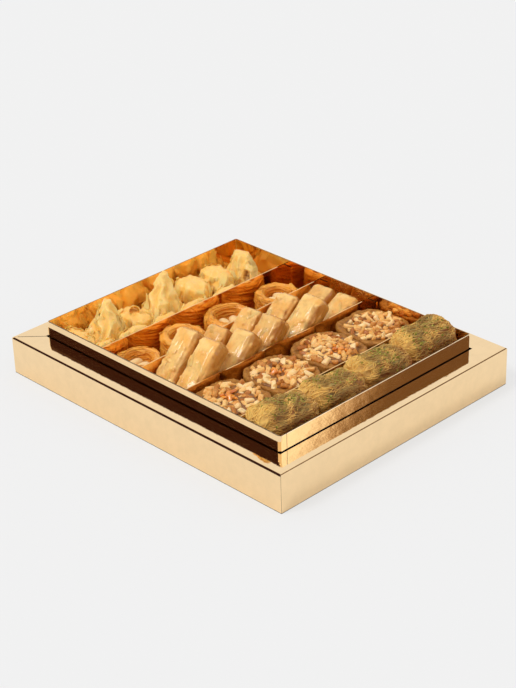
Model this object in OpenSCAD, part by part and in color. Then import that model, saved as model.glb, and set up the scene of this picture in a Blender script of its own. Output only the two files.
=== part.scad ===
// Gift box of assorted baklava: a wide gold outer frame, and a divided inner tray that stands in its well.
// X runs across the box, Y along it, Z up. The origin is the middle of the underside.

/* [Outer frame] */
// Width across the box
frame_w = 240; // [220:1:280]
// Length of the box
frame_l = 290; // [270:1:330]
// Height of the ledge above the table
frame_h = 31; // [27:0.5:36]
// Width of the flat ledge
ledge_w = 17.5; // [16:0.5:24]
// Thickness of the folded board
board_t = 1.2; // [0.8:0.1:1.6]
// Thickness of the base board
base_t = 1.8; // [1.2:0.1:2.4]

/* [Inner tray] */
// Height of the tray rim above the ledge
tray_rise = 12.5; // [9:0.5:16]
// Gap between the tray and the frame, on each side
tray_gap = 1.9; // [0.6:0.1:2.4]
// Thickness of the tray wall
wall_t = 1; // [0.8:0.1:1.4]
// Thickness of the tray floor
floor_t = 1.6; // [1.2:0.1:2]
// Outside radius of the tray corners
corner_r = 2.2; // [1.6:0.2:5]
// Distance of the glued seam from the corner
seam_off = 6.4; // [3:0.2:9]
// Width and depth of the line at the seam
seam_w = 0.4; // [0.2:0.1:0.5]

/* [Dividers] */
// Thickness of a divider strip
divider_t = 0.8; // [0.6:0.1:1.1]
// How far the dividers stop below the rim
divider_drop = 5; // [3:0.5:8]
// Length of the folded glue tab at each end of a divider
tab_len = 9; // [6:0.5:12]
// How far the pressed divider waves to each side
wave_h = 0.9; // [0.3:0.1:1.2]

/* [Shredded rolls] */
// Length of a shredded roll
roll_len = 48.8; // [44:0.2:49]
// Width of a shredded roll
roll_w = 35; // [28:0.5:36]
// Height of a shredded roll
roll_h = 26; // [22:0.5:28]
// Height of the twisted ridges of shreds on a roll
roll_ridge = 1.3; // [0.6:0.1:2]
// Room between two rolls along their row
roll_gap = 1; // [0.6:0.1:2]
// Room beside the turned rolls in their row
roll_side = 7.3; // [6:0.1:10]
// Height of the hidden layer under the rolls
roll_under_h = 23; // [20:0.5:25]

/* [Nut cakes] */
// Width of the caramel slab of a nut cake, across the box
cake_w = 49; // [45:0.2:49.2]
// Depth of the caramel slab of a nut cake, along the box
cake_d = 53; // [48:0.2:53.4]
// Room between two nut cakes across the box
cake_gap = 0.8; // [0.6:0.1:2]
// Room beside the nut cakes along the box
cake_side = 0.5; // [0.4:0.1:2]
// Thickness of the caramel slab
cake_h = 14; // [11:0.5:15]
// Radius of the corners of the slab
cake_r = 17; // [12:0.5:22]
// Diameter of the round of nuts on the slab
nuts_d = 45.6; // [42:0.2:47]
// Height of the round of nuts above the slab
nuts_h = 2; // [1:0.1:3]
// How far the nuts stand out of their round
nuts_relief = 1.2; // [0.6:0.1:1.8]
// Length of a chopped nut
chop_len = 6; // [4:0.2:7]
// Rounding of the upper and lower edges of a nut cake
cake_edge = 2.6; // [1:0.2:4]

/* [Rolled fingers] */
// Width of a rolled finger
finger_w = 21.6; // [18:0.2:21.8]
// Thickness of a rolled finger
finger_t = 17; // [14:0.5:17.5]
// Room that a leaning finger leaves before the next
finger_gap = 7.9; // [7:0.1:10]
// Room beside the two lines of fingers
finger_side = 2.3; // [2:0.1:4]
// Height of the tallest finger end above the table
finger_top = 60.5; // [54:0.5:61]
// Rounding of the long edges of a finger
finger_r = 5.5; // [3:0.5:6]

/* [Nests] */
// Diameter of a nest
nest_d = 36.5; // [32:0.5:38]
// Height of a nest
nest_h = 14.5; // [12:0.5:16]
// Room between two nests across the box
nest_gap = 13.3; // [12:0.1:16]
// Room beside the nests along the box
nest_side = 1.3; // [1:0.1:3]
// Height of the hidden layer under the nests
nest_under_h = 12.5; // [11:0.5:14]
// Thickness of the ring of a nest
nest_ring = 7; // [6:0.5:8]
// Thickness of the floor of a nest
nest_floor = 4; // [3:0.5:6]
// Length of a whole nut in a nest
nut_len = 12; // [9:0.5:13]

/* [Filo parcels] */
// Height of the hidden layer under the parcels
parcel_under_h = 16; // [13:0.5:18]
// Height of the tallest filo peak
peak_h = 37.5; // [34:0.5:44]
// Height of the low parcels
low_h = 22; // [18:0.5:24]

/* [Hidden] */

// Gap between a loose sweet and what it stands on or beside
seat_gap = 0.3;
// How far a cut runs past the face that it opens
overrun = 1;

// Sizes worked out from the frame and the tray
tray_w = frame_w - 2 * (ledge_w + tray_gap);
tray_l = frame_l - 2 * (ledge_w + tray_gap);
inner_w = tray_w - 2 * wall_t;
inner_l = tray_l - 2 * wall_t;
rim_z = frame_h + tray_rise;
floor_z = base_t + floor_t;
divider_top = rim_z - divider_drop;
seat_z = floor_z + seat_gap;

// Places across and along the tray, from shares of its inside
function tray_x(share) = (share - 1 / 2) * inner_w;
function tray_y(share) = (share - 1 / 2) * inner_l;

// Where the four dividers meet the left and the right wall, front divider first
divider_left_shares = [0.18, 0.405, 0.598, 0.777];
divider_right_shares = [0.18, 0.405, 0.615, 0.777];
// How much of the wave each divider has
divider_wave_shares = [0.35, 1, 0.2, 0.15];

// Room for a sweet in a row of so many, and for the sweets between two dividers, less what the dividers take
function room_x(count) = inner_w / count;
play = divider_t + wave_h + 3 * seat_gap;
function room_y(share) = share * inner_l - play;
rolls_y = room_y(divider_left_shares[0]);
cakes_y = room_y(divider_left_shares[1] - divider_left_shares[0]);
fingers_y = room_y(divider_left_shares[2] - divider_left_shares[1]);
nests_y = room_y(divider_left_shares[3] - divider_right_shares[2]);

// Outline of a rectangle with round corners, with a step of points along each corner
function round_rect(w, h, r, steps = 3) = [
    for (c = [0:3]) for (s = [0:steps])
        let (a = 90 * c + 90 * s / steps,
             cx = (c == 0 || c == 3 ? 1 : -1) * (w / 2 - r),
             cy = (c < 2 ? 1 : -1) * (h / 2 - r))
        [cx + r * cos(a), cy + r * sin(a)]];

// Box with all its edges round, its length along X
module soft_bar(len, w, h, r, steps = 3) {
    intersection() {
        translate([0, 0, -h / 2]) linear_extrude(h) polygon(round_rect(len, w, r, steps));
        rotate([90, 0, 0]) translate([0, 0, -w / 2]) linear_extrude(w) polygon(round_rect(len, h, r, steps));
        rotate([90, 0, 90]) translate([0, 0, -len / 2]) linear_extrude(len) polygon(round_rect(w, h, r, steps));
    }
}

// Faces of a stack of rings, each with count points, closed by a flat cap at each end
function ring_faces(rings, count) = concat(
    [[for (i = [0:count - 1]) i]],
    [for (r = [0:rings - 2]) for (i = [0:count - 1])
        [r * count + i, (r + 1) * count + (i + 1) % count, r * count + (i + 1) % count]],
    [for (r = [0:rings - 2]) for (i = [0:count - 1])
        [r * count + i, (r + 1) * count + i, (r + 1) * count + (i + 1) % count]],
    [[for (i = [count - 1:-1:0]) (rings - 1) * count + i]]);

// Side of a rounded square on the unit circle, blunt where power is large
function blunt(v, power) = sign(v) * pow(abs(v), 2 / power);

// Irregular lump with its length along X, standing on Z = 0, with a flat foot, and with twisted ridges where asked
module lump(len, w, h, phase, rough = 0.06, rings = 11, count = 16, square = 2.6, ends = 3.2, ridges = 0, ridge = 0) {
    foot = h * (rough + 0.05);
    points = [for (r = [0:rings - 1]) for (i = [0:count - 1])
        let (u = -cos(180 * (r + 0.45) / (rings - 0.1)),
             girth = pow(1 - pow(abs(u), ends), 1 / 2.6),
             a = 360 * i / count,
             swell = 1 - rough + rough * sin(a * 2 + phase + 140 * u) * cos(a + 210 * u + phase * 2)
                 + ridge * (cos(ridges * a + 200 * u + phase) - 1) / h)
        [u * len / 2,
         girth * swell * blunt(cos(a), square) * w / 2,
         max(foot, h / 2 + girth * swell * blunt(sin(a), square) * h / 2) - foot]];
    polyhedron(points, ring_faces(rings, count));
}

// Folded peak that narrows upwards from a square foot on Z = 0 to a leaning tip
module peak(w, d, h, phase, tip = 0.2, lean = 0.1, rings = 9, count = 16) {
    points = [for (r = [0:rings - 1]) for (i = [0:count - 1])
        let (v = r / (rings - 1),
             a = 360 * i / count + phase * v,
             taper = tip + (1 - tip) * pow(1 - v, 1.15),
             fold = 1 - 0.1 * v + 0.1 * v * cos(4 * a + phase))
        [taper * fold * blunt(cos(a), 4 - 1.6 * v) * w / 2 + lean * v * w,
         taper * fold * blunt(sin(a), 4 - 1.6 * v) * d / 2,
         v * h]];
    polyhedron(points, ring_faces(rings, count));
}

// Flat board under the whole box
module frame_base() {
    color("goldenrod")
        translate([-frame_w / 2 + board_t, -frame_l / 2 + board_t, 0])
            cube([frame_w - 2 * board_t, frame_l - 2 * board_t, base_t]);
}

// Plan of one mitred rail along X, drawn in from its two walls by inset
module rail_plan(len, inset, past = 0) {
    polygon([[-len / 2 + inset - past, inset], [len / 2 - inset + past, inset],
             [len / 2 - ledge_w + inset + past, ledge_w - inset],
             [-len / 2 + ledge_w - inset - past, ledge_w - inset]]);
}

// Hollow rail folded from board: outer wall, ledge and inner wall, with mitred ends
module rail(len, turn, reach) {
    color("gold")
        rotate([0, 0, turn]) translate([0, -reach / 2, 0])
            difference() {
                linear_extrude(frame_h) rail_plan(len, 0);
                translate([0, 0, -overrun])
                    linear_extrude(frame_h - board_t + overrun) rail_plan(len, board_t, overrun);
                translate([-len / 2 + board_t, board_t, -overrun])
                    cube([len - 2 * board_t, ledge_w, base_t + overrun]);
            }
}

// Floor board of the tray, inside its wall
module tray_floor() {
    color("goldenrod")
        translate([0, 0, base_t])
            linear_extrude(floor_t) polygon(round_rect(inner_w, inner_l, corner_r - wall_t, 4));
}

// Upright wall strip of the tray, bent round its corners, with the line of its glued seam
module tray_wall() {
    color("gold")
        difference() {
            translate([0, 0, base_t])
                linear_extrude(rim_z - base_t)
                    difference() {
                        polygon(round_rect(tray_w, tray_l, corner_r, 4));
                        polygon(round_rect(inner_w, inner_l, corner_r - wall_t, 4));
                    }
            translate([-tray_w / 2 + seam_off, -tray_l / 2 - overrun, base_t - overrun])
                cube([seam_w, overrun + seam_w, rim_z - base_t + 2 * overrun]);
        }
}

// Thin divider strip across the tray, with a glue tab folded forwards at each end
module divider(i) {
    left = tray_y(divider_left_shares[i]);
    right = tray_y(divider_right_shares[i]);
    half = inner_w / 2;
    steps = 20;
    function mid(s) = left + (right - left) * s / steps
        + wave_h * divider_wave_shares[i] * sin(360 * 2.5 * s / steps) * sin(180 * s / steps);
    back = [for (s = [0:steps]) [-half + inner_w * s / steps, mid(s) + divider_t / 2]];
    front = [for (s = [steps - 1:-1:1]) [-half + inner_w * s / steps, mid(s) - divider_t / 2]];
    color("orange")
        translate([0, 0, floor_z])
            linear_extrude(divider_top - floor_z)
                polygon(concat(back,
                    [[half, right - tab_len], [half - divider_t, right - tab_len],
                     [half - divider_t, right - divider_t / 2]],
                    front,
                    [[-half + divider_t, left - divider_t / 2], [-half + divider_t, left - tab_len],
                     [-half, left - tab_len]]));
}

// Front row: shredded rolls end to end, each turned a little, on a hidden layer of rolls
roll_x_shares = [0.1265, 0.3745, 0.6220, 0.8765];
roll_y_share = 0.0905;
roll_turns = [-9, -9, -9, -12];
roll_rise_shares = [0.09, 0, 0, 0.13];
roll_pitches = [0, 0, 0, 7];
roll_fit_x = room_x(4) / (roll_len + roll_gap);
roll_fit_y = rolls_y / (roll_w + roll_side);
roll_z = seat_z + roll_under_h + seat_gap;

module kadaif_roll(i) {
    color("darkkhaki")
        translate([tray_x(roll_x_shares[i]), tray_y(roll_y_share), roll_z + roll_rise_shares[i] * roll_h])
            scale([roll_fit_x, roll_fit_y, 1])
                rotate([0, -roll_pitches[i], roll_turns[i]]) lump(roll_len, roll_w, roll_h, 47 * i, 0.04, 17, 36, 2.4, 6, 9, roll_ridge);
}

module kadaif_under_layer() {
    color("peru")
        for (i = [0:3])
            translate([tray_x((i + 1 / 2) / 4), tray_y(roll_y_share), seat_z + roll_under_h / 2])
                soft_bar(room_x(4) - 4 * seat_gap, roll_w * roll_fit_y, roll_under_h, roll_under_h / 3);
}

// Second row: square caramel cakes with a round of nuts, on a hidden layer of the same
cake_y = (tray_y(divider_left_shares[0]) + tray_y(divider_left_shares[1]) - wave_h / 2) / 2;
cake_tilts = [1.2, -1, 1.4, -0.8];
cake_z = seat_z + cake_h + nuts_h + seat_gap;

cake_profile_shares = [[1, 0], [0.3, 0.3], [0, 1]];

cake_fit_x = room_x(4) / (cake_w + cake_gap);
cake_fit_y = cakes_y / (cake_d + cake_side);

// Nuts lie in a sunflower spiral, each turned its own way
nuts_count = 26;
nut_turn = 137.5;

module chopped_nuts(i, radius) {
    for (n = [0:nuts_count - 1])
        rotate([0, 0, nut_turn * n + 40 * i]) translate([radius * sqrt((n + 1 / 2) / nuts_count), 0, 0])
            rotate([0, 0, nut_turn * 2 * n * (i + 1)])
                lump(chop_len * (1 - n % 3 / 8), chop_len * 0.6, nuts_relief + overrun, 70 * n, 0.05, 4, 7, 3);
}

// Slab with its round of nuts, plain where it lies hidden
module nut_slab(i = -1) {
    bed = i < 0 ? nuts_h : nuts_h - nuts_relief;
    round_fit = min(cake_fit_x, cake_fit_y);
    low = [for (p = cake_profile_shares) [cake_edge * p[0], cake_edge * p[1]]];
    high = [for (n = [2:-1:0]) [low[n][0], cake_h - low[n][1]]];
    points = [for (p = concat(low, high))
        for (q = round_rect(cake_w * cake_fit_x - 2 * p[0], cake_d * cake_fit_y - 2 * p[0],
                            cake_r * round_fit - p[0], 8)) [q[0], q[1], p[1]]];
    polyhedron(points, ring_faces(6, 36));
    translate([0, 0, cake_h - overrun]) cylinder(h = bed + overrun, d = nuts_d * round_fit, $fn = 64);
    if (i >= 0)
        translate([0, 0, cake_h + bed - overrun]) chopped_nuts(i, (nuts_d * round_fit - chop_len) / 2);
}

module nut_cake(i) {
    lift = sin(abs(cake_tilts[i])) * cake_d / 2;
    color("sienna")
        translate([tray_x((i + 1 / 2) / 4), cake_y, cake_z + lift])
            rotate([cake_tilts[i], 0, 0]) nut_slab(i);
}

module nut_cake_under_layer() {
    color("saddlebrown")
        for (i = [0:3]) translate([tray_x((i + 1 / 2) / 4), cake_y, seat_z]) nut_slab();
}

// Third row: rolled fingers in two lines, each with its foot on the floor, leaning over the next.
// Each entry is the place of its upper edge across the tray, the height of that edge, and the lean
finger_top_shares = [[0.2262, 1, 46], [0.3775, 0.841, 41], [0.5537, 0.861, 40], [0.746, 0.831, 39], [0.957, 0.686, 25],
                     [0.2274, 0.993, 45], [0.3996, 0.896, 42], [0.5402, 0.922, 45], [0.765, 0.917, 39], [0.962, 0.694, 25]];
// How far the upper ends stand back from the feet, as a share of the width, in the back and the front line
finger_swing_shares = [0.15, 0.07];
finger_fit = room_x(8) / (finger_t + finger_gap);
finger_room = finger_w * fingers_y / (2 * finger_w + finger_side);
finger_front_y = tray_y(divider_left_shares[1]) + wave_h + divider_t / 2 + seat_gap + finger_room / 2;

module finger(i) {
    spec = finger_top_shares[i];
    lean = atan(tan(spec[2]) / finger_fit);
    thick = finger_t * finger_fit * sin(lean) / sin(spec[2]);
    round_r = min(finger_r, thick / 3);
    swing = finger_room * finger_swing_shares[i < 5 ? 0 : 1];
    len = round_r + (finger_top * spec[1] - seat_z - round_r - (thick - round_r) * cos(lean)) / sin(lean);
    color("wheat")
        translate([tray_x(spec[0]), finger_front_y + swing + (i < 5 ? finger_room + 2 * seat_gap : 0), finger_top * spec[1]])
            rotate([0, -lean, asin(swing / (len * cos(lean)))])
                translate([-len / 2, 0, -thick / 2]) soft_bar(len, finger_room, thick, round_r);
}

// Fourth row: shredded nests with whole nuts, on a hidden layer of nests
nest_x_shares = [0.118, 0.345, 0.592, 0.856];
nest_size_shares = [0.98, 0.98, 1.08, 0.98];
nest_height_shares = [1.05, 1.2, 1.08, 1.04];
nest_y_share = 0.693;
nest_z = seat_z + nest_under_h + seat_gap;
nest_fit = min(room_x(4) / (nest_d + nest_gap), nests_y / (nest_d + nest_side));

module nest_at(i, z) {
    translate([tray_x(nest_x_shares[i]), tray_y(nest_y_share), z]) children();
}

module nest(i) {
    d = nest_d * nest_fit * nest_size_shares[i];
    h = nest_h * nest_height_shares[i];
    color("darkorange")
        nest_at(i, nest_z) {
            cylinder(h = nest_floor, d = d - nest_ring, $fn = 48);
            rotate_extrude($fn = 48) translate([d / 2 - nest_ring / 2, 0])
                union() {
                    translate([0, h - nest_ring / 2]) circle(d = nest_ring, $fn = 24);
                    translate([-nest_ring / 2, 0]) square([nest_ring, h - nest_ring / 2]);
                }
        }
}

module nest_nuts(i) {
    color("cornsilk")
        nest_at(i, nest_z + nest_floor + seat_gap)
            for (n = [0:1])
                rotate([0, 0, 35 * i + 180 * n]) translate([0, nut_len * nest_fit / 3 + seat_gap, 0])
                    lump(nut_len * nest_fit, nut_len * nest_fit / 2, nut_len / 2, 80 * n, 0.05, 7, 10);
}

module nest_under_layer() {
    color("peru")
        for (i = [0:3]) nest_at(i, seat_z) cylinder(h = nest_under_h, d = nest_d * nest_fit * nest_size_shares[i], $fn = 48);
}

// Back row: filo parcels on a hidden layer. The tall ones stand along the back wall.
// Each entry is its place across and along the tray, and its width and depth, as shares of the tray's inside
parcel_shares = [[0.188, 0.908, 0.165, 0.150], [0.475, 0.905, 0.190, 0.155], [0.645, 0.905, 0.120, 0.150],
                 [0.782, 0.908, 0.115, 0.145], [0.910, 0.900, 0.130, 0.155], [0.055, 0.908, 0.085, 0.150],
                 [0.075, 0.808, 0.120, 0.046], [0.225, 0.808, 0.150, 0.046], [0.385, 0.808, 0.135, 0.046],
                 [0.540, 0.808, 0.145, 0.046], [0.705, 0.808, 0.150, 0.046], [0.330, 0.905, 0.095, 0.145]];
// Heights as shares of the tallest peak, or of a low parcel from the sixth on
parcel_height_shares = [0.93, 1, 0.66, 0.64, 0.68, 0.95, 0.95, 1, 0.92, 0.95, 0.88, 0.82];
parcel_z = seat_z + parcel_under_h + seat_gap;

module parcel(i) {
    spec = parcel_shares[i];
    w = spec[2] * inner_w;
    d = spec[3] * inner_l;
    h = parcel_height_shares[i] * (i < 5 ? peak_h : low_h);
    color("moccasin")
        translate([tray_x(spec[0]), tray_y(spec[1]), parcel_z])
            if (i == 0 || i == 1) peak(w, d, h, 40 + 25 * i);
            else if (i == 4) peak(w, d, h, 30, 0.42, 0.02);
            else lump(w, d, h, 60 * i, 0.08, 9, 14, 3);
}

module parcel_under_layer() {
    color("burlywood")
        for (i = [0:4]) for (row = [0:1])
            translate([tray_x((i + 1 / 2) / 5), tray_y(row == 0 ? 0.812 : 0.91), seat_z + parcel_under_h / 2])
                soft_bar(inner_w / 5 - 2 * seat_gap, inner_l * (row == 0 ? 0.05 : 0.14), parcel_under_h,
                         parcel_under_h / 4);
}

frame_base();
rail(frame_w, 0, frame_l);  // frame_rail_front
rail(frame_w, 180, frame_l);  // frame_rail_back
rail(frame_l, -90, frame_w);  // frame_rail_left
rail(frame_l, 90, frame_w);  // frame_rail_right
tray_floor();
tray_wall();
for (i = [0:3]) divider(i);
for (i = [0:3]) kadaif_roll(i);
kadaif_under_layer();
for (i = [0:3]) nut_cake(i);
nut_cake_under_layer();
for (i = [0:9]) finger(i);
for (i = [0:3]) nest(i);
for (i = [0:3]) nest_nuts(i);
nest_under_layer();
for (i = [0:11]) parcel(i);
parcel_under_layer();
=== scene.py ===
"""Looks of the box of baklava: a gold card frame, a divided gold tray, and five rows of sweets."""

import math
import random

import bmesh
import bpy
from mathutils import Matrix, Quaternion, Vector, noise
from mathutils.bvhtree import BVHTree


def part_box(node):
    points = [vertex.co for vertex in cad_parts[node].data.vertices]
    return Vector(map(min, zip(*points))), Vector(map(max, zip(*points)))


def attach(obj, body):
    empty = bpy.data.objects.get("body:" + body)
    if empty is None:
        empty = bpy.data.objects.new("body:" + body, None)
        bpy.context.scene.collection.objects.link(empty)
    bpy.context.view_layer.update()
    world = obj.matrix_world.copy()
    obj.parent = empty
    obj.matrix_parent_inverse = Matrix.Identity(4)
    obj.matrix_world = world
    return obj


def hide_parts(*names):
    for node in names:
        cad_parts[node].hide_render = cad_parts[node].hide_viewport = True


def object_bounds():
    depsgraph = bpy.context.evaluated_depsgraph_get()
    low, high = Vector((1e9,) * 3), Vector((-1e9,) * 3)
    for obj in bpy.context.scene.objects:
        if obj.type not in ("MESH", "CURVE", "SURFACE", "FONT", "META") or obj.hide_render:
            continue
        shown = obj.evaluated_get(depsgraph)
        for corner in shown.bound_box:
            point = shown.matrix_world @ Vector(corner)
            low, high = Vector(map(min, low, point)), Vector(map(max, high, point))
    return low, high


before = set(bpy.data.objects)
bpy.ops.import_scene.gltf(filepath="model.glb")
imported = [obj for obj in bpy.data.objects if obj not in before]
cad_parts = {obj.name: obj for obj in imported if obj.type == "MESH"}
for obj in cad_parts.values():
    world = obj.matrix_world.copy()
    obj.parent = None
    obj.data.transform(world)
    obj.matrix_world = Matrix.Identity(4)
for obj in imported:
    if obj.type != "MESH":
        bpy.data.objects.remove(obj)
cad_low, cad_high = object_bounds()
MM = 0.001
OUT = Vector((0, 0, 1))


# ---------------------------------------------------------------- tools of the bench

def only(*pieces):
    bpy.ops.object.select_all(action="DESELECT")
    for piece in pieces:
        piece.select_set(True)
    bpy.context.view_layer.objects.active = pieces[-1]


def settle(piece):
    """Puts the place, turn and size of a piece into its mesh."""
    only(piece)
    bpy.ops.object.transform_apply(location=True, rotation=True, scale=True)
    return piece


def work(piece, kind, **settings):
    """Adds one modifier with its settings and applies it."""
    only(piece)
    modifier = piece.modifiers.new(kind.title(), kind)
    for key, value in settings.items():
        setattr(modifier, key, value)
    bpy.ops.object.modifier_apply(modifier=modifier.name)
    return piece


def select_faces(piece, test):
    """Leaves the piece in edit mode with the faces selected that pass the test on centre and normal."""
    only(piece)
    bpy.ops.object.mode_set(mode="EDIT")
    bpy.ops.mesh.select_mode(type="FACE")
    bpy.ops.mesh.select_all(action="DESELECT")
    sheet = bmesh.from_edit_mesh(piece.data)
    for face in sheet.faces:
        face.select = bool(test(face.calc_center_median(), face.normal))
    sheet.select_flush_mode()
    bmesh.update_edit_mesh(piece.data)


def leave_edit():
    bpy.ops.object.mode_set(mode="OBJECT")


def edit_all(piece):
    """Leaves the piece in edit mode with everything selected."""
    only(piece)
    bpy.ops.object.mode_set(mode="EDIT")
    bpy.ops.mesh.select_all(action="SELECT")


def cut(piece, *planes):
    """Adds the edges where these planes, each a (place, facing), cross the piece."""
    for place, facing in planes:
        edit_all(piece)
        bpy.ops.mesh.bisect(plane_co=place, plane_no=facing)
        leave_edit()


def bevel(piece, test, **settings):
    """Rounds the edges that pass the test."""
    only(piece)
    bpy.ops.object.mode_set(mode="EDIT")
    bpy.ops.mesh.select_mode(type="EDGE")
    bpy.ops.mesh.select_all(action="DESELECT")
    sheet = bmesh.from_edit_mesh(piece.data)
    for edge in sheet.edges:
        edge.select = test(edge)
    bmesh.update_edit_mesh(piece.data)
    bpy.ops.mesh.bevel(affect="EDGES", **settings)
    leave_edit()


def smooth(piece, angle=None):
    only(piece)
    if angle is None:
        bpy.ops.object.shade_smooth()
    else:
        bpy.ops.object.shade_smooth_by_angle(angle=math.radians(angle))
    return piece


def remesh(piece, size):
    """Makes the piece one even skin, from voxels of this size in millimetres."""
    return work(piece, "REMESH", mode="VOXEL", voxel_size=size * MM)


def placed(name, data):
    """A new piece in the scene, with this mesh, curve, light or lens."""
    piece = bpy.data.objects.new(name, data)
    bpy.context.scene.collection.objects.link(piece)
    return piece


def placed_sheet(name, sheet):
    """A new piece in the scene, from a sheet of bmesh that is done."""
    mesh = bpy.data.meshes.new(name)
    sheet.to_mesh(mesh)
    sheet.free()
    return placed(name, mesh)


def newest(name):
    """The piece that the last operator made, under its name."""
    piece = bpy.context.view_layer.objects.active
    piece.name = name
    return piece


def copy_of(node, name):
    """A merged copy of a CAD node's mesh, to be shaped further."""
    piece = placed(name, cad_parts[node].data.copy())
    piece.data.materials.clear()
    select_faces(piece, lambda c, n: True)
    bpy.ops.mesh.remove_doubles(threshold=0.00001)
    bpy.ops.mesh.normals_make_consistent(inside=False)
    leave_edit()
    return piece


def joined(name, *pieces):
    only(*pieces)
    bpy.ops.object.join()
    whole = newest(name)
    whole.data.name = name
    return whole


def knead(piece, height):
    """Moves each vertex along its normal by height(place, normal), in millimetres."""
    moves = [v.normal * height(v.co, v.normal) * MM for v in piece.data.vertices]
    for vertex, move in zip(piece.data.vertices, moves):
        vertex.co += move
    piece.data.update()
    return piece


def keep_low(piece):
    """No piece stands higher than the CAD's highest point."""
    for vertex in piece.data.vertices:
        vertex.co.z = min(vertex.co.z, cad_high.z - 0.02 * MM)
    return piece


def tint(piece, colour):
    """Keeps a colour for each vertex, by its place and normal, for the finishes that ask for it."""
    layer = piece.data.color_attributes.new("tint", "FLOAT_COLOR", "POINT")
    for value, vertex in zip(layer.data, piece.data.vertices):
        value.color = (*colour(vertex.co, vertex.normal), 1)
    return piece


def between(low, high, value):
    """0 below low, 1 above high, and smooth between."""
    share = min(1, max(0, (value - low) / (high - low)))
    return share * share * (3 - 2 * share)


def blend_tone(first, second, share):
    return tuple(a + (b - a) * share for a, b in zip(first, second))


def dress(piece, *finishes):
    piece.data.materials.clear()
    for finish in finishes:
        piece.data.materials.append(finish)
    return piece


def coloured(piece, tone, finish):
    """Gives the piece its finish, with its own tones in it."""
    return dress(tint(piece, tone), finish)


def belongs(piece, body, slot, *nodes):
    """The piece moves with a body and stands for these nodes; slot is not used."""
    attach(piece, body)
    if nodes:
        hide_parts(*nodes)
    return piece


def middle(node):
    low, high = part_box(node)
    return (low + high) / 2, low, high


# ---------------------------------------------------------------- finishes

def feed(tree, node, feeds):
    """Gives inputs of a node their values, or links the outputs to them that feed them."""
    for slot, value in feeds.items():
        if isinstance(value, bpy.types.NodeSocket):
            tree.links.new(value, node.inputs[slot])
        else:
            node.inputs[slot].default_value = value
    return node


def node_of(tree, kind, feeds=None, **settings):
    """A new node with its settings and what feeds its inputs."""
    made = tree.nodes.new(kind)
    for key, value in settings.items():
        setattr(made, key, value)
    return feed(tree, made, feeds or {})


def reckon(tree, operation, *values):
    """The result of one step of arithmetic."""
    return node_of(tree, "ShaderNodeMath", dict(enumerate(values)), operation=operation).outputs["Value"]


def multiplied(tree, first, second):
    """The product of two colours."""
    settings = {"data_type": "RGBA", "blend_type": "MULTIPLY"}
    return node_of(tree, "ShaderNodeMix", {0: 1, 6: first, 7: second}, **settings).outputs[2]


def ramp(tree, stops, source):
    """A colour ramp with these (place, colour) stops, fed by source."""
    made = node_of(tree, "ShaderNodeValToRGB", {0: source})
    band = made.color_ramp
    while len(band.elements) < len(stops):
        band.elements.new(0.5)
    for element, (place, colour) in zip(band.elements, stops):
        element.position = place
        element.color = (*colour, 1)
    return made.outputs["Color"]


def mottle_group():
    """Coarse and fine mottling, sized in metres."""
    tree = bpy.data.node_groups.new("pastry mottle", "ShaderNodeTree")
    for name, kind, direction in (("Vector", "Vector", "INPUT"), ("Coarse", "Float", "INPUT"),
                                  ("Fine", "Float", "INPUT"), ("Mottle", "Float", "OUTPUT"),
                                  ("Grain", "Float", "OUTPUT")):
        tree.interface.new_socket(name, in_out=direction, socket_type="NodeSocket" + kind)
    enter = node_of(tree, "NodeGroupInput").outputs
    leave = node_of(tree, "NodeGroupOutput")
    for size, result, detail, roughness in (("Coarse", "Mottle", 3, 0.6), ("Fine", "Grain", 4, 0.65)):
        pattern = node_of(tree, "ShaderNodeTexNoise", {"Vector": enter["Vector"], "Scale": enter[size],
                                                       "Detail": detail, "Roughness": roughness})
        feed(tree, leave, {result: pattern.outputs["Fac"]})
    return tree


MOTTLE = mottle_group()


def new_finish(name, coarse, fine):
    """A finish, with its tree, its skin and its mottling by the piece's own coordinates."""
    finish = bpy.data.materials.new(name)
    finish.use_nodes = True
    tree = finish.node_tree
    tree.nodes.clear()
    skin = node_of(tree, "ShaderNodeBsdfPrincipled")
    node_of(tree, "ShaderNodeOutputMaterial", {"Surface": skin.outputs["BSDF"]})
    place = node_of(tree, "ShaderNodeTexCoord").outputs["Object"]
    mottle = node_of(tree, "ShaderNodeGroup", {"Vector": place, "Coarse": coarse, "Fine": fine}, node_tree=MOTTLE)
    return finish, tree, skin, mottle.outputs


FOIL_GRAIN = 900
FOIL_DEEPER = 0.96


def foil(name, colour, roughness, dent, dent_size):
    """Mirror gold card: a metal with faint dents and a soft change of tone."""
    finish, tree, skin, mottle = new_finish(name, dent_size, FOIL_GRAIN)
    deep = tuple(c * FOIL_DEEPER for c in colour)
    rough = node_of(tree, "ShaderNodeMapRange", {"Value": mottle["Grain"], "To Min": roughness * 0.7,
                                                 "To Max": roughness * 1.5})
    bump = node_of(tree, "ShaderNodeBump", {"Distance": dent, "Height": mottle["Mottle"]})
    feed(tree, skin, {"Metallic": 1, "Base Color": ramp(tree, ((0.35, deep), (0.65, colour)), mottle["Mottle"]),
                      "Roughness": rough.outputs["Result"], "Normal": bump.outputs["Normal"]})
    return finish


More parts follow.
